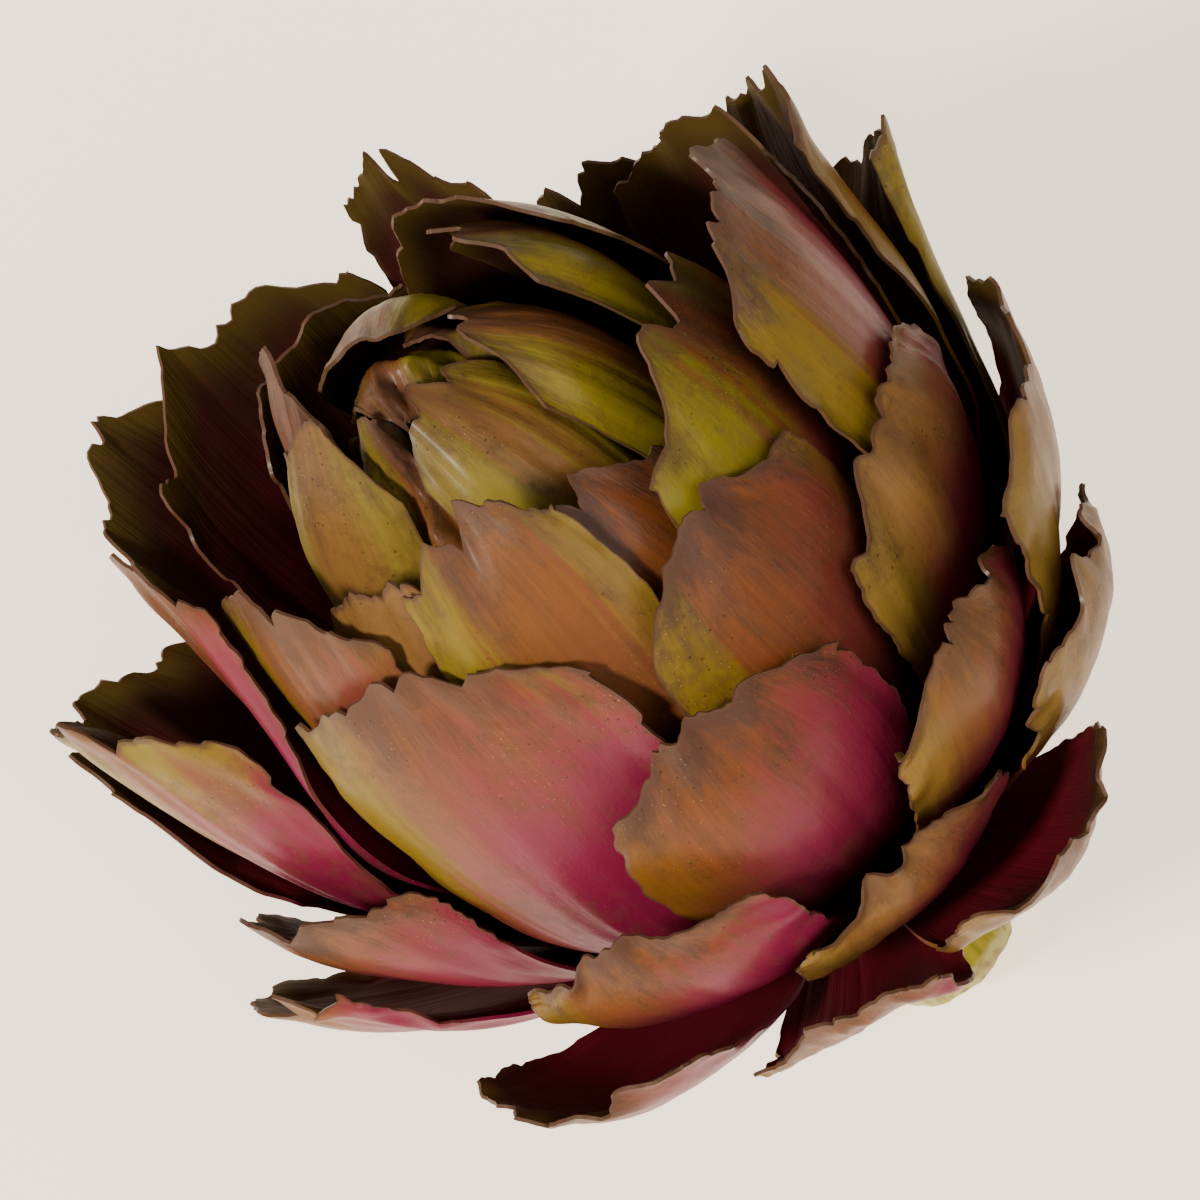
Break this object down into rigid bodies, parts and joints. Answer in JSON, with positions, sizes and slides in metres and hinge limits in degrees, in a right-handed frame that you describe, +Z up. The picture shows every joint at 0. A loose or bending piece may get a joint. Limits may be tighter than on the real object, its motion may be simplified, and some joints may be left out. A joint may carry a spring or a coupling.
{
  "type": "artichoke",
  "caption": "Fresh globe artichoke, lying down: a short cut stem, spreading purple-green bracts in whorls with ragged tips, and a closed bud.",
  "frame": {"origin": "on the surface it lies on, under the middle of its bounding box", "axes": "+Z up; the head's axis leans 40 degrees from upright, with its tip towards -X and +Y, and the cut stem points down towards +X and -Y; the view of the picture looks along +Y and down"},
  "size_m": [0.119, 0.1126, 0.1116],
  "materials": {
    "bract": "waxy plant skin: pink-red at the base, tan to brown with yellow-green patches towards a dark rim; dark maroon inside",
    "stem": "yellow-green faintly ribbed stem, and olive to brown closed bracts"
  },
  "bodies": {
    "root": {"stem_and_bud": "stem", "upper_bract_1": "bract", "upper_bract_2": "bract", "upper_bract_3": "bract", "upper_bract_4": "bract", "upper_bract_5": "bract", "upper_bract_6": "bract", "upper_bract_7": "bract", "upper_bract_8": "bract", "middle_bract_1": "bract", "middle_bract_2": "bract", "middle_bract_3": "bract", "middle_bract_4": "bract", "middle_bract_5": "bract", "middle_bract_6": "bract", "middle_bract_7": "bract", "middle_bract_8": "bract", "middle_bract_9": "bract", "spread_bract_1": "bract", "spread_bract_2": "bract", "spread_bract_3": "bract", "spread_bract_4": "bract", "spread_bract_5": "bract", "spread_bract_6": "bract", "spread_bract_7": "bract", "spread_bract_8": "bract", "spread_bract_9": "bract", "spread_bract_10": "bract", "spread_bract_11": "bract", "spread_bract_12": "bract", "spread_bract_13": "bract", "low_bract_1": "bract", "low_bract_2": "bract", "low_bract_3": "bract", "low_bract_4": "bract", "low_bract_5": "bract", "low_bract_6": "bract", "low_bract_7": "bract", "low_bract_8": "bract", "low_bract_9": "bract", "low_bract_10": "bract"}
  },
  "joints": []
}
